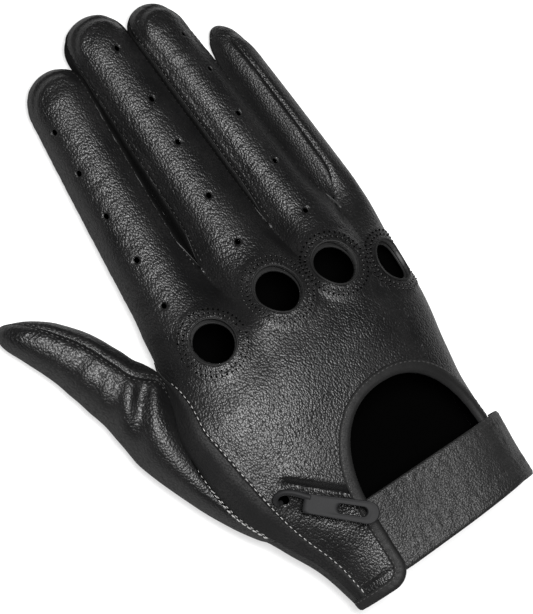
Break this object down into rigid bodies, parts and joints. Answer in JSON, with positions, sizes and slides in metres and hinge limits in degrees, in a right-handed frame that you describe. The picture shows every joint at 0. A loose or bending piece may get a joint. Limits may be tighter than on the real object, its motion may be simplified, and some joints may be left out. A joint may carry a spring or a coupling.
{
  "type": "leather driving glove",
  "caption": "Right-hand leather driving glove with knuckle holes, a cut-out over the wrist, a wrapped strap and a moulded hanger; fingers, thumb and strap bend.",
  "frame": {"origin": "middle of the palm, on the flat that the glove lies on", "axes": "+Y towards the fingertips, +Z out of the back of the hand, +X towards the little finger"},
  "size_m": [0.1511, 0.2367, 0.0455],
  "materials": {
    "leather": "satin pebbled grain",
    "facing": "satin",
    "binding": "satin",
    "strap": "satin, finely shirred",
    "pile": "matt hook and loop",
    "elastic": "matt knitted",
    "hanger": "glossy"
  },
  "bodies": {
    "hand": {"back_hand": "leather", "back_knuckle_band": "leather", "palm_hand": "leather", "palm_knuckle_band": "leather", "side_panel": "leather", "opening_binding": "binding", "wrist_elastic": "elastic", "loop_patch": "pile", "strap_sewn_end": "strap", "strap_bend": "strap", "thumb_outer_root": "leather", "thumb_inner_root": "leather", "thumb_base_bend": "leather", "index_knuckle_facing": "facing", "middle_knuckle_facing": "facing", "ring_knuckle_facing": "facing", "little_knuckle_facing": "facing"},
    "knuckle_row": {"index_back_lower": "leather", "index_palm_lower": "leather", "index_bend": "leather", "index_little_side_fourchette_lower": "leather", "middle_back_lower": "leather", "middle_palm_lower": "leather", "middle_bend": "leather", "middle_thumb_side_fourchette_lower": "leather", "middle_little_side_fourchette_lower": "leather", "ring_back_lower": "leather", "ring_palm_lower": "leather", "ring_bend": "leather", "ring_thumb_side_fourchette_lower": "leather", "ring_little_side_fourchette_lower": "leather", "little_back_lower": "leather", "little_palm_lower": "leather", "little_bend": "leather", "little_thumb_side_fourchette_lower": "leather"},
    "index_tip": {"index_back_upper": "leather", "index_palm_upper": "leather", "index_little_side_fourchette_upper": "leather"},
    "middle_tip": {"middle_back_upper": "leather", "middle_palm_upper": "leather", "middle_thumb_side_fourchette_upper": "leather", "middle_little_side_fourchette_upper": "leather"},
    "ring_tip": {"ring_back_upper": "leather", "ring_palm_upper": "leather", "ring_thumb_side_fourchette_upper": "leather", "ring_little_side_fourchette_upper": "leather"},
    "little_tip": {"little_back_upper": "leather", "little_palm_upper": "leather", "little_thumb_side_fourchette_upper": "leather"},
    "thumb_lower": {"thumb_outer_lower": "leather", "thumb_inner_lower": "leather", "thumb_tip_bend": "leather"},
    "thumb_tip": {"thumb_outer_upper": "leather", "thumb_inner_upper": "leather"},
    "strap": {"strap_band": "strap", "strap_tip_bend": "strap"},
    "strap_tip": {"strap_tip": "strap", "hook_patch": "pile"},
    "hanger": {"hanger": "hanger"}
  },
  "joints": [
    {"name": "knuckle_fold", "type": "hinge", "parent": "hand", "child": "knuckle_row", "pos_m": [0, 0.039, 0.0175], "axis": [-1, 0, 0], "range_deg": [0, 60], "deforming": ["back_knuckle_band", "palm_knuckle_band", "index_knuckle_facing", "middle_knuckle_facing", "ring_knuckle_facing", "little_knuckle_facing"]},
    {"name": "index_fold", "type": "hinge", "parent": "knuckle_row", "child": "index_tip", "pos_m": [-0.03088, 0.0915, 0.01133], "axis": [-0.9976, 0, 0.0698], "range_deg": [0, 70], "deforming": ["index_bend"]},
    {"name": "middle_fold", "type": "hinge", "parent": "knuckle_row", "child": "middle_tip", "pos_m": [0.00132, 0.097, 0.01238], "axis": [-1, 0, 0], "range_deg": [0, 70], "deforming": ["middle_bend"]},
    {"name": "ring_fold", "type": "hinge", "parent": "knuckle_row", "child": "ring_tip", "pos_m": [0.02624, 0.093, 0.01147], "axis": [-0.9976, 0, -0.0698], "range_deg": [0, 70], "deforming": ["ring_bend"]},
    {"name": "little_fold", "type": "hinge", "parent": "knuckle_row", "child": "little_tip", "pos_m": [0.04793, 0.077, 0.01007], "axis": [-0.9877, 0, -0.1564], "range_deg": [0, 70], "deforming": ["little_bend"]},
    {"name": "thumb_swing", "type": "hinge", "parent": "hand", "child": "thumb_lower", "pos_m": [-0.06477, 0.04092, 0.01192], "axis": [-0.842, -0.2046, -0.4991], "range_deg": [0, 20], "deforming": ["thumb_base_bend"]},
    {"name": "thumb_fold", "type": "hinge", "parent": "thumb_lower", "child": "thumb_tip", "pos_m": [-0.07218, 0.06468, 0.01043], "axis": [-0.7783, -0.3811, -0.4989], "range_deg": [0, 50], "deforming": ["thumb_tip_bend"]},
    {"name": "strap_lift", "type": "hinge", "parent": "hand", "child": "strap", "pos_m": [-0.01398, -0.05025, 0.03145], "axis": [0.0087, -0.9985, -0.0543], "range_deg": [0, 75], "deforming": ["strap_bend"]},
    {"name": "strap_peel", "type": "hinge", "parent": "strap", "child": "strap_tip", "pos_m": [0.03627, -0.05025, 0.03268], "axis": [-0.008, -0.9996, -0.0256], "range_deg": [0, 45], "deforming": ["strap_tip_bend"]},
    {"name": "hanger_swivel", "type": "hinge", "parent": "hand", "child": "hanger", "pos_m": [-0.044, -0.019, 0.03313], "axis": [-0.277, 0, 0.9609], "range_deg": [-20, 25]}
  ]
}
